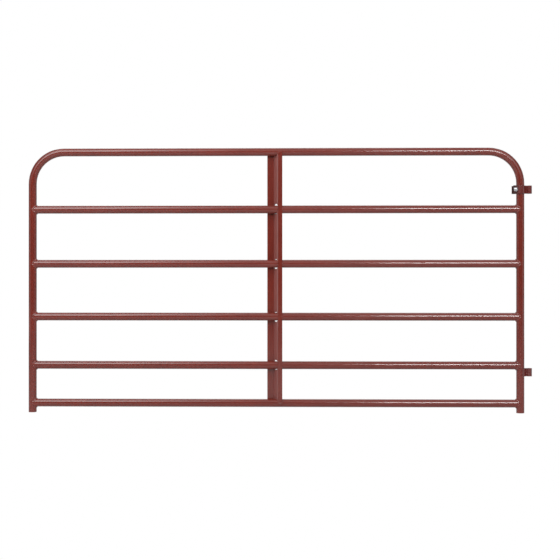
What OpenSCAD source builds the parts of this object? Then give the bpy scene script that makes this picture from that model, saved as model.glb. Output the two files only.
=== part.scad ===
// Livestock gate with six rails, a punched Z-section centre stay and two pin hinges.
// Millimetres, +Z up. The origin is on the hinge axis, at mid height of the lower hinge eye.
// The gate hangs from its right-hand side: its panel runs from the hinge axis towards -X,
// and its front faces -Y.

/* [Gate] */
// Width over the two posts
gate_w = 2381; // [1200:1:4900]
// Height from the post feet to the top of the top rail
gate_h = 1270; // [1230:1:1500]
// Outside diameter of every tube
tube_d = 38.1; // [38.1:0.1:38.2]
// Wall thickness of every tube
tube_wall = 1.25; // [1:0.05:2.2]
// Radius of the two top corners, to the tube's centreline
bend_r = 152.4; // [120:0.1:160]

/* [Rails] */
// Height of rail 2's centreline above the post feet
rail_2_z = 975; // [960:1:985]
// Height of rail 3's centreline above the post feet
rail_3_z = 714; // [650:1:800]
// Height of rail 4's centreline above the post feet
rail_4_z = 460; // [420:1:560]
// Height of rail 5's centreline above the post feet
rail_5_z = 227; // [225:1:300]
// Height of rail 6's centreline above the post feet
rail_6_z = 45; // [40:1:80]

/* [Centre stay] */
// Sheet thickness of the stay
stay_t = 2; // [1.5:0.1:3]
// Visible width of the rear flange
rear_flange_w = 32; // [20:0.5:35]
// Width that the slanting web covers, seen from the front
web_w = 21.5; // [15:0.5:28]
// Visible width of the front flange
front_flange_w = 19.5; // [18:0.5:35]
// How far the stay's middle stands to the left of the gate's middle
stay_shift = 3; // [-10:0.5:10]
// Diameter of the holes punched through the web for the rails
punch_d = 47; // [46.5:0.5:48]
// How far the hole for rail 2 sits above the rail's centre
punch_2_rise = 3; // [-3:0.5:3]
// How far the hole for rail 3 sits above the rail's centre
punch_3_rise = -1.5; // [-3:0.5:3]
// How far the hole for rail 4 sits above the rail's centre
punch_4_rise = -1.5; // [-3:0.5:3]
// How far the hole for rail 5 sits above the rail's centre
punch_5_rise = 1.5; // [-3:0.5:3]

/* [Hinges] */
// Height of both hinge straps
strap_h = 38.1; // [30:0.1:40]
// Thickness of both hinge straps
strap_t = 4.8; // [4:0.1:5.5]
// Diameter of the hinge eyes' bores
eye_d = 16.8; // [16.4:0.1:17.5]
// Distance from the hinge axis to the hinge post's axis
hinge_offset = 42; // [40:0.5:46]
// Height of the upper hinge's middle above the post feet
upper_hinge_z = 1068; // [1060:1:1075]
// Height of the lower hinge's middle above the post feet
lower_hinge_z = 195; // [180:1:196]
// How far the clamp's ears reach inboard of the post's axis
ear_reach = 37; // [36.5:0.5:50]
// Distance from the post's axis to the clamp bolt's axis
bolt_inset = 25.5; // [25:0.1:28]

/* [Clamp bolt] */
// Diameter of the bolt's shank
bolt_d = 9.5; // [9:0.1:10]
// Length of the bolt under its head
bolt_len = 63.5; // [62:0.1:76]
// Diameter of the bolt's domed head
head_d = 21; // [19:0.1:23]
// Height of the bolt's domed head
head_h = 4.8; // [4:0.1:6]
// Width of the nut across its flats
nut_af = 14.3; // [14:0.1:16]
// Thickness of the nut
nut_t = 8.3; // [8:0.1:9]

/* [Welds] */
// Height of the fillet welds along the posts and rails
weld_leg = 7; // [4:0.5:7.5]
// How far a weld's face bulges
weld_crown = 1.2; // [0.8:0.1:2]

/* [Hidden] */

$fn = 64;
eps = 0.01;
// How far a cutting shape runs on past the metal.
over = 1;
tube_r = tube_d / 2;
post_gap = gate_w - tube_d;
top_z = gate_h - tube_r;
bend_z = top_z - bend_r;

// Clearances: a rail's mitred end to the post, the stay's flanges and its notches to the
// rails, the clamp and the welded strap to the post, and a weld to the metal under it.
cope_gap = 0.15;
stay_gap = 0.25;
notch_gap = 0.5;
clamp_gap = 0.3;
welded_gap = 0.2;
weld_gap = 0.26;

// Centre stay.
stay_w = rear_flange_w + web_w + front_flange_w;
stay_x = -post_gap / 2 - stay_shift;
stay_flange_y = tube_r + stay_gap + stay_t / 2;
stay_bend_r = 3;
stay_bend_steps = 10;
stay_bottom = rail_6_z;
stay_height = top_z - rail_6_z;
stay_web_x = -stay_w / 2 + rear_flange_w + web_w / 2;
web_slant = atan2(web_w, 2 * stay_flange_y);
stay_notch_r = tube_r + notch_gap;

// Hinge straps. The strap's middle line is followed from the far side of the eye, round a
// tight neck where the two legs leave a slot between them, and on to the post.
eye_r = eye_d / 2;
eye_mid_r = eye_r + strap_t / 2;
neck_inner_r = 2.6;
neck_slot = 3;
neck_mid_r = strap_t / 2 + neck_inner_r;
neck_y = strap_t / 2 + neck_slot / 2;
neck_turn = 180 - asin((neck_y + neck_mid_r) / (eye_mid_r + neck_mid_r));
neck_at = (eye_mid_r + neck_mid_r) * [cos(neck_turn), sin(neck_turn)];
post_at = [-hinge_offset, 0];
eye_spare = 0.4;
neck_late = 10;
eye_steps = 24;
neck_steps = 14;
post_steps = 12;
// The angle round the post at which each leg of the welded strap ends.
lower_wrap = 79;

// Clamp bolt, washers and nut, from the front ear to the nut behind the rear ear.
ear_y = tube_r + clamp_gap + strap_t;
washer_d = 20.6;
washer_t = 1.7;
lock_washer_d = 17.3;
lock_washer_t = 2.4;
lock_split = 1.4;
lock_split_tilt = 25;
stack_gap = 0.02;
thread_gap = 0.06;
bolt_hole_gap = 0.4;
bolt_hole_r = bolt_d / 2 + bolt_hole_gap;
neck_square = bolt_d - 0.3;
neck_len = strap_t - 0.4;
square_hole = neck_square + 0.4;
chamfer = 0.8;

// Welds. A bead covers a share of a sheet's edge, and keeps a margin from the edge's ends.
weld_sides = 32;
weld_steps = 8;
short_weld_steps = 4;
weld_cover = 0.8;
weld_margin = 1;
stay_weld_leg = 4.5;
stay_weld_crown = 0.7;
stay_weld_turn = 36;
hinge_weld_leg = 4;
leg_end_crown = 0.9;
leg_edge_crown = 0.6;
leg_end_gap = 0.5;
leg_end_tilt = 25;
leg_edge_from = 0.55;
leg_edge_to = 0.98;

// Moves a shape from the gate's own place, with z = 0 at the post feet and x = 0 on the
// hinge post's axis, to the hinge frame.
module on_gate() {
    translate([-hinge_offset, 0, -lower_hinge_z]) children();
}

module paint() {
    color([0.42, 0.17, 0.14]) children();
}

module zinc() {
    color([0.78, 0.79, 0.80]) children();
}

// ---- Frame hoop and rails ----

// The hoop's path filled with a round bar of radius r, longer than the posts by extra.
module hoop_bar(r, extra) {
    for (x = [0, -post_gap])
        translate([x, 0, -extra]) cylinder(r = r, h = bend_z + extra);
    translate([-bend_r, 0, top_z]) rotate([0, -90, 0])
        cylinder(r = r, h = post_gap - 2 * bend_r);
    translate([-bend_r, 0, bend_z]) rotate([90, 0, 0])
        rotate_extrude(angle = 90) translate([bend_r, 0]) circle(r = r);
    translate([-post_gap + bend_r, 0, bend_z]) rotate([90, 0, 0])
        rotate_extrude(angle = 90, start = 90) translate([bend_r, 0]) circle(r = r);
}

// One tube, bent twice, that makes both posts and the top rail.
module frame_hoop() {
    paint() on_gate() difference() {
        hoop_bar(tube_r, 0);
        hoop_bar(tube_r - tube_wall, over);
    }
}

// A straight rail, mitred at both ends to sit against the posts.
module rail(z) {
    paint() on_gate() translate([0, 0, z]) difference() {
        rotate([0, -90, 0]) cylinder(r = tube_r, h = post_gap);
        translate([over, 0, 0]) rotate([0, -90, 0])
            cylinder(r = tube_r - tube_wall, h = post_gap + 2 * over);
        for (x = [0, -post_gap])
            translate([x, 0, -tube_d]) cylinder(r = tube_r + cope_gap, h = 2 * tube_d);
    }
}

// ---- Centre stay ----

// Points on an arc about c, from angle a0 to a1.
function arc(c, r, a0, a1, n) = [
    for (i = [0:n]) let (a = a0 + (a1 - a0) * i / n) c + r * [cos(a), sin(a)]
];

// Section of the stay, seen from above: rear flange, rounded bend, slanting web, rounded
// bend, front flange. The two halves are the same shape turned half round, but for the
// flanges' lengths.
half_t = stay_t / 2;
bend_turn = 90 - web_slant;
bend_pull = stay_bend_r * tan(bend_turn / 2);
rear_bend_c = [stay_web_x - web_w / 2 - bend_pull, stay_flange_y - stay_bend_r];
front_bend_c = [stay_web_x + web_w / 2 + bend_pull, -stay_flange_y + stay_bend_r];
rear_end = -stay_w / 2;
front_end = stay_w / 2;

module stay_section() {
    polygon(concat(
        [[rear_end, stay_flange_y + half_t]],
        arc(rear_bend_c, stay_bend_r + half_t, 90, 90 - bend_turn, stay_bend_steps),
        arc(front_bend_c, stay_bend_r - half_t, 270 - bend_turn, 270, stay_bend_steps),
        [[front_end, -stay_flange_y + half_t], [front_end, -stay_flange_y - half_t]],
        arc(front_bend_c, stay_bend_r + half_t, 270, 270 - bend_turn, stay_bend_steps),
        arc(rear_bend_c, stay_bend_r - half_t, 90 - bend_turn, 90, stay_bend_steps),
        [[rear_end, stay_flange_y - half_t]]
    ));
}

// A round hole punched square through the slanting web.
module web_punch(z) {
    translate([stay_web_x, 0, z]) rotate([0, 0, web_slant]) rotate([0, 90, 0])
        cylinder(d = punch_d, h = 3 * stay_t, center = true);
}

// The web's two ends are notched to sit round the top rail and the bottom rail, between
// the flanges.
module web_notch(z) {
    intersection() {
        translate([-stay_w / 2 - over, 0, z]) rotate([0, 90, 0])
            cylinder(r = stay_notch_r, h = stay_w + 2 * over);
        translate([-stay_w, -tube_r - stay_gap, z - tube_d])
            cube([2 * stay_w, 2 * (tube_r + stay_gap), 2 * tube_d]);
    }
}

module centre_stay() {
    paint() on_gate() translate([stay_x, 0, 0]) difference() {
        translate([0, 0, stay_bottom]) linear_extrude(height = stay_height) stay_section();
        web_punch(rail_2_z + punch_2_rise);
        web_punch(rail_3_z + punch_3_rise);
        web_punch(rail_4_z + punch_4_rise);
        web_punch(rail_5_z + punch_5_rise);
        for (z = [rail_6_z, top_z]) web_notch(z);
    }
}

// ---- Hinge straps ----

// The straight run between neck and post is tangent to both of their arcs.
function flare_turn(post_mid_r) =
    let (d = post_at - neck_at)
    atan2(d[1], d[0]) + 360 + acos((post_mid_r + neck_mid_r) / norm(d)) - 90;

// One face of a strap's leg, side = 1 for the outer face and -1 for the inner one. The
// inner face of the eye has metal to spare, which the bore takes away, so that face meets
// the neck's arc a few degrees late.
function eye_face(side, spare) =
    arc([0, 0], eye_mid_r + side * (strap_t / 2 + spare), 0, neck_turn, eye_steps);
function neck_face(side, post_mid_r, late) =
    arc(neck_at, neck_mid_r - side * strap_t / 2,
        neck_turn + 180 - late, flare_turn(post_mid_r) + 90, neck_steps);
function post_face(side, post_mid_r, last) =
    arc(post_at, post_mid_r + side * strap_t / 2,
        flare_turn(post_mid_r) - 90, last, post_steps);

function mirrored(points) = [for (p = points) [p[0], -p[1]]];
function reversed(points) = [for (i = [len(points) - 1:-1:0]) points[i]];

// Both legs of a strap, from the faces of one of them.
module strap_legs(outer, inner) {
    polygon(concat(outer, reversed(inner), mirrored(inner), reversed(mirrored(outer))));
}

// A bar rolled round the hinge pin and then round the post. Each leg follows the post to
// the angle last and then runs straight on for the length of straight.
module rolled_strap(gap, last, straight) {
    post_mid_r = tube_r + gap + strap_t / 2;
    run = straight * [cos(last + 90), sin(last + 90)];
    outer_end = post_at + (post_mid_r + strap_t / 2) * [cos(last), sin(last)] + run;
    inner_end = post_at + (post_mid_r - strap_t / 2) * [cos(last), sin(last)] + run;
    difference() {
        translate([0, 0, -strap_h / 2]) linear_extrude(height = strap_h) strap_legs(
            concat(eye_face(1, 0), neck_face(1, post_mid_r, 0),
                post_face(1, post_mid_r, last), straight > 0 ? [outer_end] : []),
            concat(eye_face(-1, eye_spare), neck_face(-1, post_mid_r, neck_late),
                post_face(-1, post_mid_r, last), straight > 0 ? [inner_end] : [])
        );
        cylinder(r = eye_r, h = strap_h + 2 * over, center = true);
    }
}

module at_upper_hinge() {
    translate([0, 0, upper_hinge_z - lower_hinge_z]) children();
}

// Clamp-on strap: its ears pass the post and are drawn together by the clamp bolt.
module upper_hinge_strap() {
    paint() at_upper_hinge() difference() {
        rolled_strap(clamp_gap, 90, ear_reach);
        at_bolt() cube([square_hole, square_hole, 3 * strap_t], center = true);
        at_bolt() translate([0, 0, ear_y]) cylinder(r = bolt_hole_r, h = 2 * ear_y);
    }
}

// Welded strap: its two legs end on the front and the back of the post.
module lower_hinge_strap() {
    paint() rolled_strap(welded_gap, lower_wrap, 0);
}

// ---- Clamp bolt and its nut ----

// Puts the origin under the bolt's head on the front ear, with +Z towards the nut.
module at_bolt() {
    translate([-hinge_offset - bolt_inset, -ear_y, 0]) rotate([-90, 0, 0]) children();
}

// Carriage bolt: a domed head, a square neck in the front ear's square hole, and a shank.
module clamp_bolt() {
    dome_r = (head_d * head_d / 4 + head_h * head_h) / (2 * head_h);
    zinc() at_upper_hinge() at_bolt() {
        difference() {
            translate([0, 0, dome_r - head_h]) sphere(r = dome_r);
            translate([0, 0, dome_r]) cube(2 * dome_r, center = true);
        }
        translate([0, 0, neck_len / 2 - eps])
            cube([neck_square, neck_square, neck_len], center = true);
        cylinder(d = bolt_d, h = bolt_len - chamfer);
        translate([0, 0, bolt_len - chamfer])
            cylinder(d1 = bolt_d, d2 = bolt_d - 2 * chamfer, h = chamfer);
    }
}

washer_at = 2 * ear_y + stack_gap;
lock_washer_at = washer_at + washer_t + stack_gap;
nut_at = lock_washer_at + lock_washer_t + stack_gap;

module ring(r_out, r_in, h) {
    difference() {
        cylinder(r = r_out, h = h);
        translate([0, 0, -over]) cylinder(r = r_in, h = h + 2 * over);
    }
}

module clamp_washer() {
    zinc() at_upper_hinge() at_bolt() translate([0, 0, washer_at])
        ring(washer_d / 2, bolt_hole_r, washer_t);
}

// Split ring, cut through on a slant.
module clamp_lock_washer() {
    zinc() at_upper_hinge() at_bolt() translate([0, 0, lock_washer_at]) difference() {
        ring(lock_washer_d / 2, bolt_hole_r, lock_washer_t);
        translate([lock_washer_d / 3, 0, lock_washer_t / 2]) rotate([lock_split_tilt, 0, 0])
            cube([lock_washer_d / 2, lock_split, 3 * lock_washer_t], center = true);
    }
}

// Hexagon nut with both faces chamfered.
module clamp_nut() {
    corner_r = nut_af / sqrt(3);
    zinc() at_upper_hinge() at_bolt() translate([0, 0, nut_at]) difference() {
        intersection() {
            rotate([0, 0, 30]) cylinder(r = corner_r, h = nut_t, $fn = 6);
            union() {
                cylinder(r1 = corner_r - chamfer, r2 = corner_r + eps, h = chamfer);
                translate([0, 0, chamfer])
                    cylinder(r = corner_r + eps, h = nut_t - 2 * chamfer);
                translate([0, 0, nut_t - chamfer])
                    cylinder(r1 = corner_r + eps, r2 = corner_r - chamfer, h = chamfer);
            }
        }
        translate([0, 0, -over]) cylinder(r = bolt_d / 2 + thread_gap, h = nut_t + 2 * over);
    }
}

// ---- Welds ----

// A bead that follows a list of sections, which all have the same number of points. A
// closed bead's last section joins its first one.
module bead(sections, closed) {
    n = len(sections);
    c = len(sections[0]);
    last = closed ? n - 1 : n - 2;
    points = [for (s = sections) each s];
    sides = [
        for (i = [0:last], k = [0:c - 1])
            let (a = c * i, b = c * ((i + 1) % n), m = (k + 1) % c)
            each [[a + k, b + k, b + m], [a + k, b + m, a + m]]
    ];
    ends = closed ? [] : [
        for (k = [1:c - 2], e = [0, c * (n - 1)])
            e == 0 ? [0, k, k + 1] : [e, e + k + 1, e + k]
    ];
    polyhedron(points, concat(sides, ends));
}

// Point of the weld at the angle a about the rail that lies on a post at x = 0, away from
// the corner by part of the weld's leg. It moves round the post at the front and back, and
// along the post above and below.
function on_post(a, part) =
    let (
        r = tube_r + weld_gap,
        s = abs(sin(a)),
        share = s * s * (3 - 2 * s),
        turn = acos(min(1, s)) + part * (1 - share) * weld_leg / r * 180 / PI
    )
    [
        r * cos(turn),
        sign(cos(a)) * r * sin(turn),
        r * sin(a) + sign(sin(a)) * part * share * weld_leg
    ];

// Section of the weld round a rail's end at the angle a about the rail.
function end_weld_section(a) =
    let (
        s = abs(sin(a)),
        root = on_post(a, 0),
        rail_toe = root + [weld_leg, 0, 0],
        post_toe = on_post(a, 1),
        out = [s, 2 * cos(a), sin(a)],
        crown = (rail_toe + post_toe + s * root) / (2 + s) + weld_crown * out / norm(out)
    )
    [root, rail_toe, crown, post_toe, on_post(a, 2 / 3), on_post(a, 1 / 3)];

module end_weld() {
    bead([for (i = [0:weld_sides - 1]) end_weld_section(360 * (i + 0.5) / weld_sides)], true);
}

// The weld beads round both ends of a rail.
module rail_welds(z) {
    paint() on_gate() {
        translate([-post_gap, 0, z]) end_weld();
        translate([0, 0, z]) mirror([1, 0, 0]) end_weld();
    }
}

// Short bead up the edge of a stay flange, where the flange crosses the front of a rail.
function crossing_section(a) =
    let (
        r = tube_r + weld_gap,
        root = [weld_gap, -r * cos(a), r * sin(a)],
        rail_toe = root + [stay_weld_leg, 0, 0],
        edge_toe = [weld_gap, -tube_r - stay_gap - weld_cover * stay_t, r * sin(a)],
        crown = (rail_toe + edge_toe) / 2 + stay_weld_crown * [1, -1, 0]
    )
    [root, edge_toe, crown, rail_toe];

module crossing_weld() {
    bead([for (i = [0:weld_steps])
        crossing_section(stay_weld_turn * (2 * i / weld_steps - 1))], false);
}

// The front flange is welded along its right-hand edge and the rear flange along its
// left-hand edge, at every rail between the top one and the bottom one.
module stay_rail_welds() {
    paint() on_gate() translate([stay_x, 0, 0])
        for (z = [rail_2_z, rail_3_z, rail_4_z, rail_5_z]) translate([0, 0, z]) {
            translate([stay_w / 2, 0, 0]) crossing_weld();
            rotate([0, 0, 180]) translate([stay_w / 2, 0, 0]) crossing_weld();
        }
}

// Bead along a flange's sawn end, where the flange lies on the front of a rail. The flange
// ends at the rail's middle height, below this bead.
function flange_end_section(x) =
    let (
        r = tube_r + weld_gap,
        a = asin(stay_weld_leg / r),
        root = [x, -r, weld_gap],
        rail_toe = [x, -r * cos(a), r * sin(a)],
        edge_toe = [x, -tube_r - stay_gap - weld_cover * stay_t, weld_gap],
        crown = (rail_toe + edge_toe) / 2 + stay_weld_crown * [0, -1, 1]
    )
    [root, rail_toe, crown, edge_toe];

module flange_end_weld(x0, x1) {
    bead([for (i = [0:short_weld_steps])
        flange_end_section(x0 + (x1 - x0) * i / short_weld_steps)], false);
}

// Both flanges are welded across their ends, at the top rail and at the bottom rail.
module stay_end_welds() {
    front_x = [front_bend_c[0] + weld_margin, front_end - weld_margin];
    rear_x = [-rear_bend_c[0] + weld_margin, -rear_end - weld_margin];
    paint() on_gate() translate([stay_x, 0, 0]) {
        for (w = [[0, front_x], [180, rear_x]]) rotate([0, 0, w[0]]) {
            translate([0, 0, top_z]) flange_end_weld(w[1][0], w[1][1]);
            translate([0, 0, rail_6_z]) mirror([0, 0, 1]) flange_end_weld(w[1][0], w[1][1]);
        }
    }
}

// Beads that hold the lower strap: one up each leg's end, and one over and one under it.
function leg_end_section(z) =
    let (
        r = tube_r + weld_gap,
        start = lower_wrap + leg_end_gap,
        end = start + hinge_weld_leg / r * 180 / PI,
        strap_r = tube_r + welded_gap + weld_cover * strap_t,
        root = [r * cos(start), r * sin(start), z],
        post_toe = [r * cos(end), r * sin(end), z],
        leg_toe = [strap_r * cos(start), strap_r * sin(start), z],
        tilt = end + leg_end_tilt,
        crown = (post_toe + leg_toe) / 2 + leg_end_crown * [cos(tilt), sin(tilt), 0]
    )
    [root, leg_toe, crown, post_toe];

function leg_edge_section(a) =
    let (
        r = tube_r + weld_gap,
        strap_r = tube_r + welded_gap + weld_cover * strap_t,
        z = strap_h / 2 + weld_gap,
        root = [r * cos(a), r * sin(a), z],
        post_toe = root + [0, 0, hinge_weld_leg],
        leg_toe = [strap_r * cos(a), strap_r * sin(a), z],
        crown = (post_toe + leg_toe) / 2 + leg_edge_crown * [cos(a), sin(a), 1]
    )
    [root, leg_toe, crown, post_toe];

module lower_hinge_welds() {
    reach = strap_h / 2 - weld_margin;
    spread = leg_edge_to - leg_edge_from;
    paint() translate([-hinge_offset, 0, 0]) for (flip = [0, 1]) mirror([0, flip, 0]) {
        bead([for (i = [0:short_weld_steps])
            leg_end_section(reach * (2 * i / short_weld_steps - 1))], false);
        for (under = [0, 1]) mirror([0, 0, under])
            bead([for (i = [weld_steps:-1:0])
                leg_edge_section(lower_wrap * (leg_edge_from + spread * i / weld_steps))], false);
    }
}

frame_hoop();
rail(rail_2_z);  // rail_2
rail(rail_3_z);  // rail_3
rail(rail_4_z);  // rail_4
rail(rail_5_z);  // rail_5
rail(rail_6_z);  // rail_6
centre_stay();
upper_hinge_strap();
clamp_bolt();
clamp_washer();
clamp_lock_washer();
clamp_nut();
lower_hinge_strap();
rail_welds(rail_2_z);  // rail_2_welds
rail_welds(rail_3_z);  // rail_3_welds
rail_welds(rail_4_z);  // rail_4_welds
rail_welds(rail_5_z);  // rail_5_welds
rail_welds(rail_6_z);  // rail_6_welds
stay_rail_welds();
stay_end_welds();
lower_hinge_welds();
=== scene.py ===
"""Livestock gate: painted steel tube, a bent sheet stay and two rolled hinge straps.

The tubes come from the CAD frame. The stay, straps, weld beads, bolt, washers and nut are
modelled here, each where its CAD node is. Metres, +Z up, origin on the hinge axis.
"""

import math
import random

import bpy
from mathutils import Matrix, Vector


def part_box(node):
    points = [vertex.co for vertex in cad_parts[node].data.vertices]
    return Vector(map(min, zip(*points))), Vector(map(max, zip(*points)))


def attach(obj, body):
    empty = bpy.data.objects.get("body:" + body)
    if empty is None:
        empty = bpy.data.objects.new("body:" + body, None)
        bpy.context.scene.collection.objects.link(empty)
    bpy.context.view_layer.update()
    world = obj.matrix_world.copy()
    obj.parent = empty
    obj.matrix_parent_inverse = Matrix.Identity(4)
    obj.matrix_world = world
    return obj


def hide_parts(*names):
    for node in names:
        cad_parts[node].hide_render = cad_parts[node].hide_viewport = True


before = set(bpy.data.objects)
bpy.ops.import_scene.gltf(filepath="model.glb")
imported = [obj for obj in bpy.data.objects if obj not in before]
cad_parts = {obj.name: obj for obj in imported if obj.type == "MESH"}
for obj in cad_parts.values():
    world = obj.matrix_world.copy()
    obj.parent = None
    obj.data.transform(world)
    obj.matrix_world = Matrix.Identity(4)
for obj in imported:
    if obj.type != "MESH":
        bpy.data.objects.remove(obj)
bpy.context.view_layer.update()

MM = 0.001
ALONG_X = (1, 0, 0)
ALONG_Y = (0, 1, 0)

# ---- Sizes of the gate, from the CAD boxes ----

hoop_low, hoop_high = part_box("frame_hoop")
stay_low, stay_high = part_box("centre_stay")
upper_low, upper_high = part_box("upper_hinge_strap")
lower_low, lower_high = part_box("lower_hinge_strap")
bolt_low, bolt_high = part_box("clamp_bolt")
washer_low, washer_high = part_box("clamp_washer")
lock_low, lock_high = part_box("clamp_lock_washer")
nut_low, nut_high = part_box("clamp_nut")

TUBE_R = (hoop_high.y - hoop_low.y) / 2
HINGE_POST_X = hoop_high.x - TUBE_R
LATCH_POST_X = hoop_low.x + TUBE_R
RAILS = ("rail_2", "rail_3", "rail_4", "rail_5", "rail_6")


def middle(node):
    low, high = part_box(node)
    return (low + high) / 2


RAIL_Z = {rail: middle(rail).z for rail in RAILS}
TOP_RAIL_Z = hoop_high.z - TUBE_R
STAY_X = (stay_low.x + stay_high.x) / 2
MIDDLE_X = (LATCH_POST_X + HINGE_POST_X) / 2
UPPER_Z = (upper_low.z + upper_high.z) / 2
LOWER_Z = (lower_low.z + lower_high.z) / 2

STAY_SHEET = 2.0 * MM
REAR_FLANGE = 32.0 * MM
WEB_SPREAD = 21.5 * MM
FRONT_FLANGE = 19.5 * MM
STAY_BEND_R = 3.0 * MM
PUNCH_R = 23.5 * MM
NOTCH_R = TUBE_R + 0.5 * MM
PUNCH_RISE = {"rail_2": 3.0 * MM, "rail_3": -1.5 * MM, "rail_4": -1.5 * MM, "rail_5": 1.5 * MM}

STRAP_T = 4.8 * MM
STRAP_EDGE = 0.7 * MM
EYE_R = 8.4 * MM
NECK_FACE_R = 2.6 * MM
NECK_HALF_GAP = 1.5 * MM
CLAMP_GAP = 0.3 * MM
WELDED_GAP = 0.2 * MM
LOWER_WRAP = 79.0
FRONT_EAR_Y = -(TUBE_R + CLAMP_GAP + STRAP_T)

BOLT_X = (bolt_low.x + bolt_high.x) / 2
BOLT_R = 4.75 * MM
BOLT_HOLE_R = BOLT_R + 0.4 * MM
BOLT_NECK_HALF = BOLT_R - 0.15 * MM
HEAD_RIM = 0.5 * MM
SQUARE_HOLE_HALF = BOLT_R + 0.1 * MM
NUT_BORE_R = BOLT_R + 0.06 * MM
NUT_CHAMFER = 0.9 * MM
LOCK_SPLIT_DEGREES = 16
THREAD_PITCH = 1.59 * MM
THREAD_DEPTH = 0.8 * MM
THREAD_LENGTH = 38.0 * MM
THREAD_FOOT = 0.46
THREAD_TO_TIP = 2.2 * MM
CORE_LAP = 1.0 * MM


# ---- Workshop helpers ----

def pick(*objects):
    """Only these objects are selected, and the first is the one worked on."""
    bpy.ops.object.select_all(action="DESELECT")
    for obj in objects:
        obj.select_set(True)
    bpy.context.view_layer.objects.active = objects[0]


def edit(obj):
    pick(obj)
    bpy.ops.object.mode_set(mode="EDIT")
    bpy.ops.mesh.select_mode(type="FACE")
    bpy.ops.mesh.select_all(action="DESELECT")


def done():
    bpy.ops.object.mode_set(mode="OBJECT")


def choose_faces(obj, wanted):
    """In edit mode, selects only the faces that wanted(middle, normal) says yes to."""
    bpy.ops.mesh.select_all(action="DESELECT")
    bpy.ops.object.mode_set(mode="OBJECT")
    for face in obj.data.polygons:
        face.select = bool(wanted(face.center, face.normal))
    bpy.ops.object.mode_set(mode="EDIT")


def last_made(name):
    obj = bpy.context.object
    obj.name = name
    obj.data.name = name
    return obj


def settle(obj):
    """The object goes to the origin, unturned and unscaled, with its place in its mesh."""
    pick(obj)
    bpy.ops.object.transform_apply(location=True, rotation=True, scale=True)
    return obj


def modify(obj, kind, **settings):
    modifier = obj.modifiers.new(kind.lower(), kind)
    for key, value in settings.items():
        setattr(modifier, key, value)
    pick(obj)
    bpy.ops.object.modifier_apply(modifier=modifier.name)


def tidy_mesh(obj, gap=0.01 * MM):
    """Doubled points are merged and every face is turned outwards."""
    edit(obj)
    bpy.ops.mesh.select_all(action="SELECT")
    bpy.ops.mesh.remove_doubles(threshold=gap)
    bpy.ops.mesh.normals_make_consistent(inside=False)
    done()


def soften_edges(obj, width, segments=2, angle=35):
    """Rounds the sharp edges over, and keeps the flat faces between them looking flat."""
    modify(obj, "BEVEL", width=width, segments=segments, limit_method="ANGLE",
           angle_limit=math.radians(angle), use_clamp_overlap=True)
    pick(obj)
    bpy.ops.object.shade_smooth_by_angle(angle=math.radians(40))
    modify(obj, "WEIGHTED_NORMAL", keep_sharp=True, weight=100)


def block(name, low, high):
    centre = (Vector(low) + Vector(high)) / 2
    bpy.ops.mesh.primitive_cube_add(size=1, location=centre)
    obj = last_made(name)
    obj.scale = Vector(high) - Vector(low)
    return settle(obj)


def rod(name, middle_at, radius, length, axis, sides=64):
    """A round bar along axis, centred on middle_at."""
    turn = Vector(axis).to_track_quat("Z", "Y").to_euler()
    bpy.ops.mesh.primitive_cylinder_add(
        vertices=sides, radius=radius, depth=length, location=middle_at, rotation=turn)
    return settle(last_made(name))


def cut_away(obj, cutter):
    modify(obj, "BOOLEAN", operation="DIFFERENCE", object=cutter, solver="EXACT")
    bpy.data.objects.remove(cutter)


def copy_of(obj, name):
    twin = obj.copy()
    twin.data = obj.data.copy()
    twin.name = name
    twin.data.name = name
    bpy.context.scene.collection.objects.link(twin)
    return twin


def join(name, parts):
    pick(*parts)
    if len(parts) > 1:
        bpy.ops.object.join()
    return last_made(name)


# ---- Rolled bars and bent sheet ----

def turn_end(centre, degrees, steps):
    """Rolls the selected end face on round a standing axis, the way angles are counted.

    The spin operator itself turns the other way.
    """
    bpy.ops.mesh.spin(steps=steps, angle=-math.radians(degrees), center=centre,
                      axis=(0, 0, 1), dupli=False)


def run_end(travel):
    """Pulls the selected end face straight on."""
    bpy.ops.mesh.extrude_region_move(TRANSFORM_OT_translate={"value": travel})


def flat(angle):
    """Unit vector at an angle in degrees about the standing axis."""
    return Vector((math.cos(math.radians(angle)), math.sin(math.radians(angle)), 0))


def rolled_strap(name, mid_z, post_gap, last, straight, height):
    """A bar rolled round the hinge pin, nipped at the neck and opened round the post.

    One leg is rolled, from the far side of the eye to its end, and then mirrored.
    """
    eye_mid = EYE_R + STRAP_T / 2
    neck_mid = NECK_FACE_R + STRAP_T / 2
    post_mid = TUBE_R + post_gap + STRAP_T / 2
    post = Vector((HINGE_POST_X, 0, 0))
    neck_y = STRAP_T / 2 + NECK_HALF_GAP
    neck_turn = 180 - math.degrees(math.asin((neck_y + neck_mid) / (eye_mid + neck_mid)))
    neck = flat(neck_turn) * (eye_mid + neck_mid)
    apart = post - neck
    lean = math.degrees(math.acos((post_mid + neck_mid) / apart.length))
    flare = math.degrees(math.atan2(apart.y, apart.x)) + 360 + lean - 90
    start = 0.1 * MM
    half = height / 2
    strap = block(name, (EYE_R, 0, mid_z - half), (EYE_R + STRAP_T, start, mid_z + half))
    edit(strap)
    choose_faces(strap, lambda at, normal: normal.y < -0.9)
    bpy.ops.mesh.delete(type="ONLY_FACE")
    choose_faces(strap, lambda at, normal: normal.y > 0.9)
    turn_end((0, 0, mid_z), neck_turn - math.degrees(start / eye_mid), 40)
    turn_end((neck.x, neck.y, mid_z), flare - neck_turn - 90, 10)
    neck_end = neck + flat(flare + 90) * neck_mid
    post_start = post + flat(flare - 90) * post_mid
    run_end(post_start - neck_end)
    turn_end((post.x, post.y, mid_z), last - (flare - 90), 24)
    if straight:
        run_end(flat(last + 90) * straight)
    done()
    modify(strap, "MIRROR", use_axis=(False, True, False), use_mirror_merge=True,
           merge_threshold=0.02 * MM)
    tidy_mesh(strap)
    return strap


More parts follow.
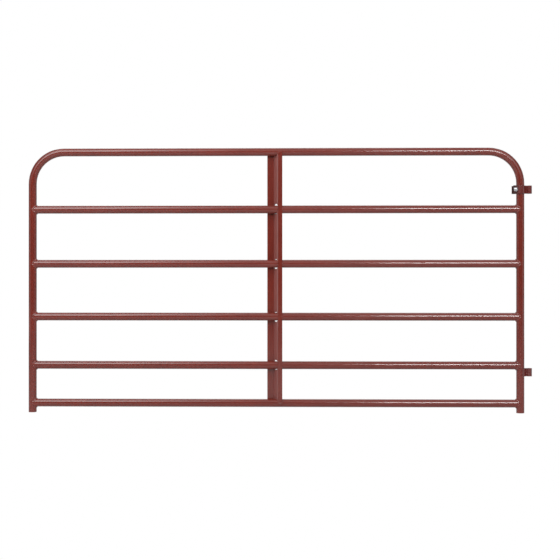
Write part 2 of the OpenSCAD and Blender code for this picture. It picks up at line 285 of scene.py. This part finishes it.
def upper_strap():
    reach = HINGE_POST_X - upper_low.x
    height = upper_high.z - upper_low.z
    strap = rolled_strap("clamp_strap", UPPER_Z, CLAMP_GAP, 90, reach, height)
    ear = TUBE_R + CLAMP_GAP
    half = SQUARE_HOLE_HALF
    square = block("square_hole", (BOLT_X - half, -ear - 2 * STRAP_T, UPPER_Z - half),
                   (BOLT_X + half, -ear + STRAP_T / 2, UPPER_Z + half))
    cut_away(strap, square)
    cut_away(strap, rod("round_hole", (BOLT_X, ear + STRAP_T / 2, UPPER_Z),
                        BOLT_HOLE_R, 3 * STRAP_T, ALONG_Y, 48))
    soften_edges(strap, STRAP_EDGE, 3)
    return strap


def lower_strap():
    height = lower_high.z - lower_low.z
    strap = rolled_strap("welded_strap", LOWER_Z, WELDED_GAP, LOWER_WRAP, 0, height)
    soften_edges(strap, STRAP_EDGE, 3)
    return strap


def sheet_stay():
    """A sheet bent twice to a Z, with round holes punched square through its web."""
    half_t = STAY_SHEET / 2
    flange_y = stay_high.y - half_t
    slant = math.degrees(math.atan2(WEB_SPREAD, 2 * flange_y))
    bend = 90 - slant
    pull = STAY_BEND_R * math.tan(math.radians(bend / 2))
    rear_corner = stay_low.x + REAR_FLANGE
    front_corner = rear_corner + WEB_SPREAD
    stay = block("bent_stay", (stay_low.x, flange_y - half_t, stay_low.z),
                 (rear_corner - pull, flange_y + half_t, stay_high.z))
    edit(stay)
    choose_faces(stay, lambda at, normal: normal.x > 0.9)
    turn_end((rear_corner - pull, flange_y - STAY_BEND_R, 0), -bend, 8)
    web = Vector((front_corner - rear_corner, -2 * flange_y, 0))
    run_end(web.normalized() * (web.length - 2 * pull))
    turn_end((front_corner + pull, -flange_y + STAY_BEND_R, 0), bend, 8)
    run_end((stay_high.x - front_corner - pull, 0, 0))
    done()
    tidy_mesh(stay)
    web_x = (rear_corner + front_corner) / 2
    for rail, rise in PUNCH_RISE.items():
        cut_away(stay, rod("punch", (web_x, 0, RAIL_Z[rail] + rise), PUNCH_R, 3 * STAY_SHEET,
                           flat(slant), 96))
    for end_z in (RAIL_Z["rail_6"], TOP_RAIL_Z):
        notch = rod("notch", (web_x, 0, end_z), NOTCH_R, 90 * MM, ALONG_X, 96)
        notch.scale.y = (flange_y - half_t - 0.02 * MM) / NOTCH_R
        cut_away(stay, settle(notch))
    soften_edges(stay, 0.3 * MM, 2)
    return stay


# ---- Weld beads ----

# The drops of each weld, in millimetres: half their size along the seam, across it and out.
RAIL_DROP_BESIDE_POST = (2.3, 4.0, 2.2)
RAIL_DROP_UP_POST = (2.3, 5.4, 3.1)
CROSSING_DROP = (2.0, 3.1, 2.1)
FLANGE_END_DROP = (2.0, 2.9, 1.9)
LEG_END_DROP = (2.1, 3.2, 2.2)
LEG_EDGE_DROP = (2.0, 2.7, 1.9)

# How far the drops are lifted out of the corner, in millimetres.
RAIL_LIFT_BESIDE_POST = -1.25
RAIL_LIFT_UP_POST = 1.6
CROSSING_LIFT = 0.35
END_LIFT = 0.3

# How finely a bead's skin is made, and how far apart its drops are laid.
BEAD_GRAIN = 0.65 * MM
RAIL_PITCH = 2.4 * MM
LEG_END_PITCH = 2.2 * MM
FINE_PITCH = 2.1 * MM

# A welder's hand: how unevenly the drops are spaced, how much they vary, how they lean.
UNEVEN = 0.18
SMALLEST_DROP = 0.92
LARGEST_DROP = 1.08
LEAN = 0.25

# Where the seams run: off the tube, off the sheet's edges, and in degrees round the post.
CROSSING_SPREAD = math.radians(38)
CROSSING_OFF_EDGE = 0.6 * MM
CROSSING_OFF_TUBE = 0.4 * MM
FLANGE_END_OFF_TUBE = 0.3 * MM
FLANGE_END_OVER_MIDDLE = 0.9 * MM
FLANGE_END_FROM_BEND = 4.0 * MM
FLANGE_END_FROM_EDGE = 1.0 * MM
LEG_END_PAST = 3.5
LEG_END_FACING = 22
LEG_END_REACH = 0.47
LEG_END_OFF_TUBE = 0.7 * MM
LEG_EDGE_START = 46
LEG_EDGE_OFF_TUBE = 1.0 * MM
LEG_EDGE_OFF_STRAP = 0.9 * MM


def metal_drop():
    """One frozen drop of weld metal, which every bead is laid with."""
    bpy.ops.mesh.primitive_ico_sphere_add(subdivisions=3, radius=1)
    return last_made("drop")


def lay_bead(name, drop, drops):
    """Drops laid along a seam and melted into one rippled skin.

    Each drop is its middle, the seam's direction, the way out of the corner, and its half
    sizes along, across and out.
    """
    laid = []
    for at, along, out, size in drops:
        along = along.normalized()
        across = out.cross(along).normalized()
        up = along.cross(across)
        turned = Matrix((along, across, up)).transposed().to_4x4()
        one = copy_of(drop, "drop")
        one.matrix_world = Matrix.Translation(at) @ turned @ Matrix.Diagonal((*size, 1))
        laid.append(one)
    bpy.context.view_layer.update()
    bead = settle(join(name, laid))
    modify(bead, "REMESH", mode="VOXEL", voxel_size=BEAD_GRAIN, adaptivity=0)
    modify(bead, "SMOOTH", factor=0.5, iterations=2)
    pick(bead)
    bpy.ops.object.shade_smooth()
    return bead


def along_seam(path, outward, size, lift, pitch, chance, closed=False):
    """Drops at an even pitch along path(t), t from 0 to 1, with size(t) in millimetres."""
    steps = 600
    near = 0.002
    points = [path(i / steps) for i in range(steps + 1)]
    lengths = [0.0]
    for i in range(steps):
        lengths.append(lengths[-1] + (points[i + 1] - points[i]).length)
    count = max(3, round(lengths[-1] / pitch))
    drops = []
    k = 0
    for n in range(count if closed else count + 1):
        target = lengths[-1] * n / count + chance.uniform(-UNEVEN, UNEVEN) * pitch
        target = min(max(target, 0.0), lengths[-1])
        while k < steps - 1 and lengths[k + 1] < target:
            k += 1
        t = k / steps
        here = path(t)
        ahead = path(min(1.0, t + near)) - path(max(0.0, t - near))
        out = outward(t).normalized()
        swell = chance.uniform(SMALLEST_DROP, LARGEST_DROP)
        half = [part * MM * swell for part in size(t)]
        at = here + out * lift(t)
        drops.append((at, ahead + out * ahead.length * LEAN, out, half))
    return drops


def blend(low, high, share):
    return low + (high - low) * share


def rail_end_drops(chance):
    """The weld round a rail's right-hand end, on the hinge post, for a rail at z = 0."""
    def path(t):
        a = 2 * math.pi * t
        return Vector((HINGE_POST_X - TUBE_R * abs(math.sin(a)),
                       TUBE_R * math.cos(a), TUBE_R * math.sin(a)))

    def outward(t):
        a = 2 * math.pi * t
        return Vector((-abs(math.sin(a)), 2 * math.cos(a), math.sin(a)))

    def corner(t):
        return abs(math.sin(2 * math.pi * t))

    def size(t):
        return [blend(beside, up, corner(t))
                for beside, up in zip(RAIL_DROP_BESIDE_POST, RAIL_DROP_UP_POST)]

    def lift(t):
        return blend(RAIL_LIFT_BESIDE_POST, RAIL_LIFT_UP_POST, corner(t)) * MM

    return along_seam(path, outward, size, lift, RAIL_PITCH, chance, closed=True)


def rail_welds(drop):
    """One pair of end beads is laid for each of three rails and copied to the others."""
    pairs = []
    for seed in (3, 8, 21):
        right = lay_bead("end_bead", drop, rail_end_drops(random.Random(seed)))
        left = lay_bead("end_bead", drop, rail_end_drops(random.Random(seed + 1)))
        left.scale.x = -1
        left.location.x = HINGE_POST_X + LATCH_POST_X
        settle(left)
        pair = join("end_beads", [right, left])
        tidy_mesh(pair)
        pairs.append(pair)
    beads = {}
    for n, rail in enumerate(RAILS):
        twin = copy_of(pairs[n % 3], rail + "_end_beads")
        twin.location.z = RAIL_Z[rail]
        beads[rail] = settle(twin)
    for pair in pairs:
        bpy.data.objects.remove(pair)
    return beads


def crossing_drops(chance):
    """The weld up the front flange's edge, where it crosses a rail at z = 0."""
    def path(t):
        a = blend(-CROSSING_SPREAD, CROSSING_SPREAD, t)
        return Vector((stay_high.x + CROSSING_OFF_EDGE,
                       -(TUBE_R + CROSSING_OFF_TUBE) * math.cos(a), TUBE_R * math.sin(a)))

    def outward(t):
        a = blend(-CROSSING_SPREAD, CROSSING_SPREAD, t)
        return Vector((0.8, -math.cos(a), math.sin(a)))

    def size(t):
        return CROSSING_DROP

    def lift(t):
        return CROSSING_LIFT * MM

    return along_seam(path, outward, size, lift, FINE_PITCH, chance)


def flange_end_drops(chance, x0, x1):
    """The weld along a flange's sawn end, just above the middle of a rail at z = 0."""
    def path(t):
        return Vector((blend(x0, x1, t), -TUBE_R - FLANGE_END_OFF_TUBE,
                       FLANGE_END_OVER_MIDDLE))

    def outward(t):
        return Vector((0, -1, 1.1))

    def size(t):
        return FLANGE_END_DROP

    def lift(t):
        return END_LIFT * MM

    return along_seam(path, outward, size, lift, FINE_PITCH, chance)


def turned_half(obj):
    """Half a turn about the stay's own middle takes the front bead to the rear flange."""
    half_turn = Matrix.Translation((STAY_X, 0, 0)) @ Matrix.Rotation(math.pi, 4, "Z")
    obj.matrix_world = half_turn @ Matrix.Translation((-STAY_X, 0, 0)) @ obj.matrix_world
    return settle(obj)


def stay_welds(drop):
    crossings = []
    for seed, rail in enumerate(RAILS[:4]):
        for side in (0, 1):
            bead = lay_bead("crossing", drop, crossing_drops(random.Random(40 + 2 * seed + side)))
            bead.location.z = RAIL_Z[rail]
            settle(bead)
            crossings.append(turned_half(bead) if side else bead)
    crossings = join("stay_crossing_beads", crossings)
    front_edge = stay_high.x
    rear_edge_turned = 2 * STAY_X - stay_low.x
    front = (front_edge - FRONT_FLANGE + FLANGE_END_FROM_BEND,
             front_edge - FLANGE_END_FROM_EDGE)
    rear = (rear_edge_turned - REAR_FLANGE + FLANGE_END_FROM_BEND,
            rear_edge_turned - FLANGE_END_FROM_EDGE)
    ends = []
    for seed, (x0, x1) in enumerate((front, rear)):
        for top in (0, 1):
            drops = flange_end_drops(random.Random(60 + 2 * seed + top), x0, x1)
            bead = lay_bead("flange_end", drop, drops)
            bead.scale.z = 1 if top else -1
            bead.location.z = TOP_RAIL_Z if top else RAIL_Z["rail_6"]
            settle(bead)
            ends.append(turned_half(bead) if seed else bead)
    ends = join("stay_end_beads", ends)
    for beads in (crossings, ends):
        tidy_mesh(beads)
    return crossings, ends


def hinge_welds(drop):
    """Beads up the lower strap's two leg ends and along its top and bottom edges."""
    strap_h = lower_high.z - lower_low.z
    laid = []
    for side in (-1, 1):
        def leg(t, side=side):
            at = flat(side * (LOWER_WRAP + LEG_END_PAST)) * (TUBE_R + LEG_END_OFF_TUBE)
            return Vector((at.x + HINGE_POST_X, at.y,
                           strap_h * blend(-LEG_END_REACH, LEG_END_REACH, t)))

        def leg_out(t, side=side):
            return flat(side * (LOWER_WRAP + LEG_END_FACING))

        laid += along_seam(leg, leg_out, lambda t: LEG_END_DROP, lambda t: END_LIFT * MM,
                           LEG_END_PITCH, random.Random(80 + side))
        for up in (-1, 1):
            def edge(t, side=side, up=up):
                round_post = flat(side * blend(LEG_EDGE_START, LOWER_WRAP, t))
                at = round_post * (TUBE_R + LEG_EDGE_OFF_TUBE)
                return Vector((at.x + HINGE_POST_X, at.y,
                               up * (strap_h / 2 + LEG_EDGE_OFF_STRAP)))

            def edge_out(t, side=side, up=up):
                return flat(side * blend(LEG_EDGE_START, LOWER_WRAP, t)) + Vector((0, 0, up))

            laid += along_seam(edge, edge_out, lambda t: LEG_EDGE_DROP, lambda t: 0.0,
                               FINE_PITCH, random.Random(90 + side + 3 * up))
    bead = lay_bead("lower_hinge_beads", drop, laid)
    bead.location.z = LOWER_Z
    settle(bead)
    tidy_mesh(bead)
    return bead


# ---- Clamp bolt, washers and nut ----

def domed_head():
    """The bolt's low dome, cut from a ball and flat underneath."""
    radius = (bolt_high.x - bolt_low.x) / 2
    height = FRONT_EAR_Y - bolt_low.y
    ball_r = (radius * radius + height * height) / (2 * height)
    at = Vector((BOLT_X, bolt_low.y + ball_r, UPPER_Z))
    bpy.ops.mesh.primitive_uv_sphere_add(segments=96, ring_count=96, radius=ball_r,
                                         location=at, rotation=(math.pi / 2, 0, 0))
    head = settle(last_made("domed_head"))
    edit(head)
    bpy.ops.mesh.select_all(action="SELECT")
    bpy.ops.mesh.bisect(plane_co=(at.x, FRONT_EAR_Y - HEAD_RIM, at.z), plane_no=(0, 1, 0),
                        clear_outer=True, use_fill=True)
    choose_faces(head, lambda middle_at, normal: normal.y > 0.99)
    bpy.ops.mesh.extrude_region_move(TRANSFORM_OT_translate={"value": (0, HEAD_RIM, 0)})
    done()
    soften_edges(head, 0.2 * MM, 2, 50)
    return head


def threaded_shank():
    """The shank, with a rolled thread that starts part way along."""
    x = BOLT_X
    tip = bolt_high.y
    root_r = BOLT_R - THREAD_DEPTH
    plain_end = tip - THREAD_LENGTH
    plain = rod("plain_shank", (x, (FRONT_EAR_Y + plain_end) / 2, UPPER_Z), BOLT_R - 0.05 * MM,
                plain_end - FRONT_EAR_Y, ALONG_Y, 48)
    soften_edges(plain, 0.5 * MM, 2, 50)
    core = rod("thread_core", (x, (plain_end + tip - CORE_LAP) / 2, UPPER_Z), root_r,
               tip - plain_end + CORE_LAP, ALONG_Y, 48)
    soften_edges(core, 0.6 * MM, 2, 50)
    bpy.ops.mesh.primitive_circle_add(vertices=3, radius=1, fill_type="NOTHING")
    ridge = last_made("thread_ridge")
    half = THREAD_PITCH * THREAD_FOOT
    inner = root_r - 0.1 * MM
    corners = ((inner, -half), (BOLT_R - 0.02 * MM, 0), (inner, half))
    for vertex, (out, up) in zip(ridge.data.vertices, corners):
        vertex.co = (out, 0, up)
    turns = int((tip - plain_end - THREAD_TO_TIP) / THREAD_PITCH)
    modify(ridge, "SCREW", axis="Z", angle=2 * math.pi, screw_offset=THREAD_PITCH,
           iterations=turns, steps=40, render_steps=40, use_merge_vertices=False)
    edit(ridge)
    bpy.ops.mesh.select_mode(type="EDGE")
    bpy.ops.mesh.select_all(action="DESELECT")
    bpy.ops.mesh.select_non_manifold()
    bpy.ops.mesh.fill()
    done()
    ridge.rotation_euler = (-math.pi / 2, 0, 0)
    ridge.location = (x, plain_end + half, UPPER_Z)
    settle(ridge)
    tidy_mesh(ridge)
    pick(ridge)
    bpy.ops.object.shade_smooth_by_angle(angle=math.radians(30))
    side = BOLT_NECK_HALF
    neck = block("square_neck", (x - side, FRONT_EAR_Y - 0.02 * MM, UPPER_Z - side),
                 (x + side, FRONT_EAR_Y + STRAP_T - 0.4 * MM, UPPER_Z + side))
    soften_edges(neck, 0.5 * MM, 2)
    return [plain, core, ridge, neck]


def carriage_bolt():
    return join("carriage_bolt", [domed_head(), *threaded_shank()])


def flat_washer():
    """A ring pressed from sheet, with its edges rounded over."""
    low, high = washer_low, washer_high
    x = (low.x + high.x) / 2
    outer_r = (high.x - low.x) / 2
    bpy.ops.mesh.primitive_circle_add(vertices=72, radius=BOLT_HOLE_R, fill_type="NOTHING",
                                      location=(x, low.y, UPPER_Z),
                                      rotation=(-math.pi / 2, 0, 0))
    ring = settle(last_made("flat_washer"))
    edit(ring)
    bpy.ops.mesh.select_mode(type="EDGE")
    bpy.ops.mesh.select_all(action="SELECT")
    bpy.ops.mesh.extrude_edges_move()
    grow = outer_r / BOLT_HOLE_R
    bpy.ops.transform.resize(value=(grow, 1, grow), center_override=(x, low.y, UPPER_Z))
    bpy.ops.mesh.select_all(action="SELECT")
    bpy.ops.mesh.extrude_region_move(
        TRANSFORM_OT_translate={"value": (0, high.y - low.y, 0)})
    done()
    tidy_mesh(ring)
    soften_edges(ring, 0.3 * MM, 2)
    return ring


def spring_washer():
    """A square wire coiled once, with a slanting split."""
    x = (lock_low.x + lock_high.x) / 2
    outer_r = (lock_high.x - lock_low.x) / 2
    wire = block("lock_washer", (x + BOLT_HOLE_R, lock_low.y, UPPER_Z + 0.9 * MM),
                 (x + outer_r, lock_high.y, UPPER_Z + 1.1 * MM))
    edit(wire)
    choose_faces(wire, lambda at, normal: normal.z > 0.9)
    bpy.ops.mesh.spin(steps=60, angle=math.radians(360 - LOCK_SPLIT_DEGREES),
                      center=(x, 0, UPPER_Z), axis=ALONG_Y, dupli=False)
    done()
    tidy_mesh(wire)
    soften_edges(wire, 0.25 * MM, 2)
    return wire


def hexagon_nut():
    """A hexagon bar end, turned to a chamfer at both faces and bored."""
    x = (nut_low.x + nut_high.x) / 2
    mid = (nut_low.y + nut_high.y) / 2
    thick = nut_high.y - nut_low.y
    corner_r = (nut_high.z - nut_low.z) / 2
    nut = rod("hexagon_nut", (x, mid, UPPER_Z), corner_r, thick, ALONG_Y, 6)
    turned = rod("turned_blank", (x, mid, UPPER_Z), corner_r, thick, ALONG_Y, 96)
    modify(turned, "BEVEL", width=NUT_CHAMFER, segments=1, limit_method="ANGLE",
           angle_limit=math.radians(40))
    modify(nut, "BOOLEAN", operation="INTERSECT", object=turned, solver="EXACT")
    bpy.data.objects.remove(turned)
    cut_away(nut, rod("nut_bore", (x, mid, UPPER_Z), NUT_BORE_R, 3 * thick, ALONG_Y, 48))
    soften_edges(nut, 0.12 * MM, 2, 25)
    return nut


# ---- Finishes ----

class Finish:
    """A node material being put together: its nodes, its links and its main shader."""

    def __init__(self, name):
        self.material = bpy.data.materials.new(name)
        self.material.use_nodes = True
        self.tree = self.material.node_tree
        self.shader = self.tree.nodes["Principled BSDF"]
        place = self.tree.nodes.new("ShaderNodeTexCoord")
        self.place = place.outputs["Object"]

    def noise(self, scale, detail=3.0, roughness=0.5):
        node = self.tree.nodes.new("ShaderNodeTexNoise")
        node.inputs["Scale"].default_value = scale
        node.inputs["Detail"].default_value = detail
        node.inputs["Roughness"].default_value = roughness
        self.tree.links.new(self.place, node.inputs["Vector"])
        return node.outputs["Fac"]

    def spots(self, scale):
        node = self.tree.nodes.new("ShaderNodeTexVoronoi")
        node.inputs["Scale"].default_value = scale
        self.tree.links.new(self.place, node.inputs["Vector"])
        return node.outputs["Distance"]

    def along_x(self):
        node = self.tree.nodes.new("ShaderNodeSeparateXYZ")
        self.tree.links.new(self.place, node.inputs[0])
        return node.outputs["X"]

    def times(self, first, second):
        node = self.tree.nodes.new("ShaderNodeMath")
        node.operation = "MULTIPLY"
        self.tree.links.new(first, node.inputs[0])
        self.tree.links.new(second, node.inputs[1])
        return node.outputs[0]

    def spread(self, value, low, high, to_low, to_high):
        node = self.tree.nodes.new("ShaderNodeMapRange")
        for key, number in (("From Min", low), ("From Max", high),
                            ("To Min", to_low), ("To Max", to_high)):
            node.inputs[key].default_value = number
        self.tree.links.new(value, node.inputs["Value"])
        return node.outputs["Result"]

    def tones(self, value, stops):
        node = self.tree.nodes.new("ShaderNodeValToRGB")
        ramp = node.color_ramp.elements
        while len(ramp) < len(stops):
            ramp.new(0.5)
        for element, (at, colour) in zip(ramp, stops):
            element.position = at
            element.color = (*colour, 1)
        self.tree.links.new(value, node.inputs["Fac"])
        return node.outputs["Color"]

    def mix(self, share, first, second, kind="MIX"):
        node = self.tree.nodes.new("ShaderNodeMix")
        node.data_type = "RGBA"
        node.blend_type = kind
        for socket, value in ((node.inputs[0], share), (node.inputs[6], first),
                              (node.inputs[7], second)):
            if isinstance(value, bpy.types.NodeSocket):
                self.tree.links.new(value, socket)
            elif isinstance(value, tuple):
                socket.default_value = (*value, 1)
            else:
                socket.default_value = value
        return node.outputs[2]

    def bump(self, height, distance, strength, under=None):
        node = self.tree.nodes.new("ShaderNodeBump")
        node.inputs["Distance"].default_value = distance
        node.inputs["Strength"].default_value = strength
        self.tree.links.new(height, node.inputs["Height"])
        if under is not None:
            self.tree.links.new(under, node.inputs["Normal"])
        return node.outputs["Normal"]

    def put(self, socket, value):
        target = self.shader.inputs[socket]
        if isinstance(value, bpy.types.NodeSocket):
            self.tree.links.new(value, target)
        else:
            target.default_value = value


def enamel(name, dark, light, cloud, speck, painted_shade=None):
    """Sprayed oxide-red enamel: cloudy, faintly pitted, with a low orange peel.

    The optional darker tone is painted shade: it comes in gradually from one place along X to
    another.
    """
    paint = Finish(name)
    clouds = paint.tones(paint.noise(7.0, 4.0), ((0.30, dark), (0.72, light)))
    mottle = paint.spread(paint.noise(160.0, 3.0), 0.35, 0.65, 0.0, 0.5)
    colour = paint.mix(mottle, clouds, cloud)
    specks = paint.spread(paint.spots(420.0), 0.06, 0.12, 0.55, 0.0)
    colour = paint.mix(specks, colour, speck)
    # Painted shade: a darker tone laid over the colour, fading in along X.
    if painted_shade:
        tone, full_at, gone_at = painted_shade
        along = paint.spread(paint.along_x(), full_at, gone_at, 1.0, 0.0)
        patchy = paint.spread(paint.noise(180.0, 4.0), 0.3, 0.7, 0.88, 1.0)
        colour = paint.mix(paint.times(along, patchy), colour, tone)
    paint.put("Base Color", colour)
    rough = paint.spread(paint.noise(240.0, 4.0, 0.6), 0.3, 0.7, 0.15, 0.22)
    paint.put("Roughness", rough)
    paint.put("IOR", 1.5)
    paint.put("Coat Weight", 0.6)
    paint.put("Coat Roughness", 0.10)
    peel = paint.bump(paint.noise(230.0, 2.0), 0.25 * MM, 0.04)
    grit = paint.bump(paint.spots(420.0), 0.10 * MM, 0.05, peel)
    paint.put("Normal", grit)
    return paint.material


def bright_zinc():
    """Zinc plate: pale, slightly blue, with fine clouding and rub marks."""
    zinc = Finish("bright_zinc")
    clouds = zinc.tones(zinc.noise(260.0, 4.0), (
        (0.30, (0.52, 0.53, 0.55)), (0.70, (0.76, 0.77, 0.79))))
    rubs = zinc.spread(zinc.noise(1400.0, 2.0), 0.40, 0.62, 0.0, 0.35)
    colour = zinc.mix(rubs, clouds, (0.42, 0.42, 0.43))
    zinc.put("Base Color", colour)
    zinc.put("Metallic", 1.0)
    zinc.put("Roughness", zinc.spread(zinc.noise(700.0, 3.0), 0.3, 0.7, 0.24, 0.42))
    zinc.put("Normal", zinc.bump(zinc.noise(900.0, 3.0), 0.08 * MM, 0.22))
    return zinc.material


def pale_floor():
    """Matt white boards that the camera sees as plain white, with no edge to them."""
    floor = Finish("pale_floor")
    floor.put("Base Color", floor.tones(floor.noise(1.5), (
        (0.3, (0.66, 0.66, 0.66)), (0.7, (0.70, 0.70, 0.70)))))
    floor.put("Roughness", 0.9)
    floor.put("Specular IOR Level", 0.0)
    glow = floor.tree.nodes.new("ShaderNodeEmission")
    seen = floor.tree.nodes.new("ShaderNodeLightPath")
    choose = floor.tree.nodes.new("ShaderNodeMixShader")
    floor.tree.links.new(seen.outputs["Is Camera Ray"], choose.inputs["Fac"])
    floor.tree.links.new(floor.shader.outputs[0], choose.inputs[1])
    floor.tree.links.new(glow.outputs[0], choose.inputs[2])
    floor.tree.links.new(choose.outputs[0], floor.tree.nodes["Material Output"].inputs[0])
    return floor.material


def wear(obj, material):
    obj.data.materials.clear()
    obj.data.materials.append(material)


def wear_partly(obj, material, wanted):
    """The faces that wanted(middle, normal) says yes to get a second finish."""
    obj.data.materials.append(material)
    edit(obj)
    choose_faces(obj, wanted)
    obj.active_material_index = len(obj.data.materials) - 1
    bpy.ops.object.material_slot_assign()
    done()


# ---- Build ----

paint = enamel("maroon_enamel", (0.150, 0.0150, 0.0080), (0.186, 0.0205, 0.0110),
               (0.166, 0.0235, 0.0140), (0.095, 0.0130, 0.0080))
# Paler, greyer enamel for the stay's web: painted light for the light its slanted face catches.
web_painted_light_paint = enamel("web_enamel_painted_light", (0.270, 0.0850, 0.0740), (0.315, 0.1050, 0.0920),
                   (0.290, 0.1060, 0.0940), (0.180, 0.0510, 0.0430))
STRAP_TONES = ((0.120, 0.0190, 0.0160), (0.150, 0.0240, 0.0200),
               (0.140, 0.0290, 0.0245), (0.080, 0.0160, 0.0130))
strap_paint = enamel("strap_enamel", *STRAP_TONES)
# The upper strap's ear is darkened, fading out across the post's left side: painted shade beside
# the bolt head.
clamp_paint = enamel("clamp_enamel", *STRAP_TONES, painted_shade=(
    (0.040, 0.0095, 0.0080), HINGE_POST_X - TUBE_R - 4 * MM, HINGE_POST_X - 9 * MM))
zinc = bright_zinc()

for node in ("frame_hoop", *RAILS):
    wear(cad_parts[node], paint)

drop = metal_drop()
end_beads = rail_welds(drop)
crossing_beads, flange_end_beads = stay_welds(drop)
lower_hinge_beads = hinge_welds(drop)
bpy.data.objects.remove(drop)

painted = {"centre_stay": (sheet_stay(), "gate"),
           "upper_hinge_strap": (upper_strap(), "upper_hinge"),
           "lower_hinge_strap": (lower_strap(), "gate"),
           "stay_rail_welds": (crossing_beads, "gate"),
           "stay_end_welds": (flange_end_beads, "gate"),
           "lower_hinge_welds": (lower_hinge_beads, "gate")}
for rail, beads in end_beads.items():
    painted[rail + "_welds"] = (beads, "gate")
plated = {"clamp_bolt": (carriage_bolt(), "upper_hinge"),
          "clamp_washer": (flat_washer(), "upper_hinge"),
          "clamp_lock_washer": (spring_washer(), "upper_hinge"),
          "clamp_nut": (hexagon_nut(), "upper_hinge")}

for pieces, material, slot in ((painted, paint, "paint"), (plated, zinc, "zinc")):
    for node, (piece, body) in pieces.items():
        wear(piece, material)
        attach(piece, body)
        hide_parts(node)

# The stay's web gets a paler, greyer enamel than its flanges: painted light, standing in for the
# light that falls on its slanted face.
web = painted["centre_stay"][0]
wear_partly(web, web_painted_light_paint, lambda at, normal: abs(normal.x) > 0.8 and abs(normal.y) > 0.3)
wear(painted["lower_hinge_strap"][0], strap_paint)
wear(painted["upper_hinge_strap"][0], clamp_paint)


# ---- Camera, floor and lights ----

HORIZON_LIGHT = 0.05
OVERHEAD_LIGHT = 0.45
FLOOR_DROP = 0.12
CAMERA_DISTANCE = 5.5
CAMERA_TURN = math.radians(1.4)
CAMERA_RISE = 0.001
CAMERA_LENS = 73.6
AIM_TO_RIGHT = 0.022


def look(obj, target):
    obj.rotation_euler = (Vector(target) - obj.location).to_track_quat("-Z", "Y").to_euler()


def studio_camera():
    centre = Vector((MIDDLE_X, 0, (hoop_low.z + hoop_high.z) / 2))
    bpy.ops.object.camera_add(location=centre + Vector(
        (CAMERA_DISTANCE * math.sin(CAMERA_TURN),
         -CAMERA_DISTANCE * math.cos(CAMERA_TURN), CAMERA_RISE)))
    camera = bpy.context.object
    camera.name = "studio_camera"
    camera.data.lens = CAMERA_LENS
    camera.data.sensor_width = 36
    look(camera, centre + Vector((AIM_TO_RIGHT, 0, CAMERA_RISE)))
    bpy.context.scene.camera = camera


def softbox(name, at, target, width, height, power):
    bpy.ops.object.light_add(type="AREA", location=at)
    lamp = bpy.context.object
    lamp.name = name
    lamp.data.shape = "RECTANGLE"
    lamp.data.size = width
    lamp.data.size_y = height
    lamp.data.energy = power
    lamp.visible_camera = False
    look(lamp, target)


def studio_world():
    """Soft room light: dim towards the horizon and bright overhead, with a white backdrop."""
    world = bpy.data.worlds.new("studio")
    bpy.context.scene.world = world
    world.use_nodes = True
    tree = world.node_tree
    room = tree.nodes["Background"]
    place = tree.nodes.new("ShaderNodeTexCoord")
    split = tree.nodes.new("ShaderNodeSeparateXYZ")
    tree.links.new(place.outputs["Generated"], split.inputs[0])
    rise = tree.nodes.new("ShaderNodeMapRange")
    rise.inputs["From Min"].default_value = 0.0
    rise.inputs["From Max"].default_value = 0.9
    rise.inputs["To Min"].default_value = HORIZON_LIGHT
    rise.inputs["To Max"].default_value = OVERHEAD_LIGHT
    tree.links.new(split.outputs["Z"], rise.inputs["Value"])
    tree.links.new(rise.outputs["Result"], room.inputs["Strength"])
    room.inputs["Color"].default_value = (1, 1, 1, 1)
    backdrop = tree.nodes.new("ShaderNodeBackground")
    backdrop.inputs["Color"].default_value = (1, 1, 1, 1)
    seen = tree.nodes.new("ShaderNodeLightPath")
    choose = tree.nodes.new("ShaderNodeMixShader")
    tree.links.new(seen.outputs["Is Camera Ray"], choose.inputs["Fac"])
    tree.links.new(room.outputs[0], choose.inputs[1])
    tree.links.new(backdrop.outputs[0], choose.inputs[2])
    tree.links.new(choose.outputs[0], tree.nodes["World Output"].inputs["Surface"])


def studio_floor():
    bpy.ops.mesh.primitive_plane_add(size=60, location=(MIDDLE_X, 0, hoop_low.z - FLOOR_DROP))
    floor = settle(last_made("studio_floor"))
    wear(floor, pale_floor())


studio_camera()
studio_world()
studio_floor()
gate_middle = (MIDDLE_X, 0, 0.45)
softbox("overhead", (MIDDLE_X, -2.05, 2.95), gate_middle, 7.0, 2.8, 25)
softbox("upper_left", (MIDDLE_X - 1.75, -2.15, 2.65), (MIDDLE_X - 1.0, 0, 0.45), 1.5, 2.8, 33)
softbox("mid_left", (MIDDLE_X - 0.9, -2.15, 2.65), (MIDDLE_X - 0.5, 0, 0.45), 0.9, 2.8, 8)
softbox("low_right", (MIDDLE_X + 2.0, -7.4, 3.2), gate_middle, 2.0, 1.0, 185)
softbox("key_left", (MIDDLE_X - 3.4, -4.0, 3.2), gate_middle, 3.2, 3.2, 31)
softbox("key_right", (MIDDLE_X + 3.4, -4.0, 3.2), gate_middle, 3.2, 3.2, 31)
softbox("left_wall", (MIDDLE_X - 4.6, 3.1, 1.2), gate_middle, 3.2, 2.6, 20)
softbox("right_wall", (MIDDLE_X + 4.6, 3.1, 1.2), gate_middle, 3.2, 2.6, 20)
softbox("left_side", (MIDDLE_X - 5.2, -1.9, 0.9), gate_middle, 1.6, 2.2, 9)
softbox("right_side", (MIDDLE_X + 5.2, -1.9, 0.9), gate_middle, 1.6, 2.2, 9)
softbox("behind", (MIDDLE_X, 3.0, 3.6), gate_middle, 5.0, 1.6, 48)
bpy.context.scene.view_settings.view_transform = "Standard"
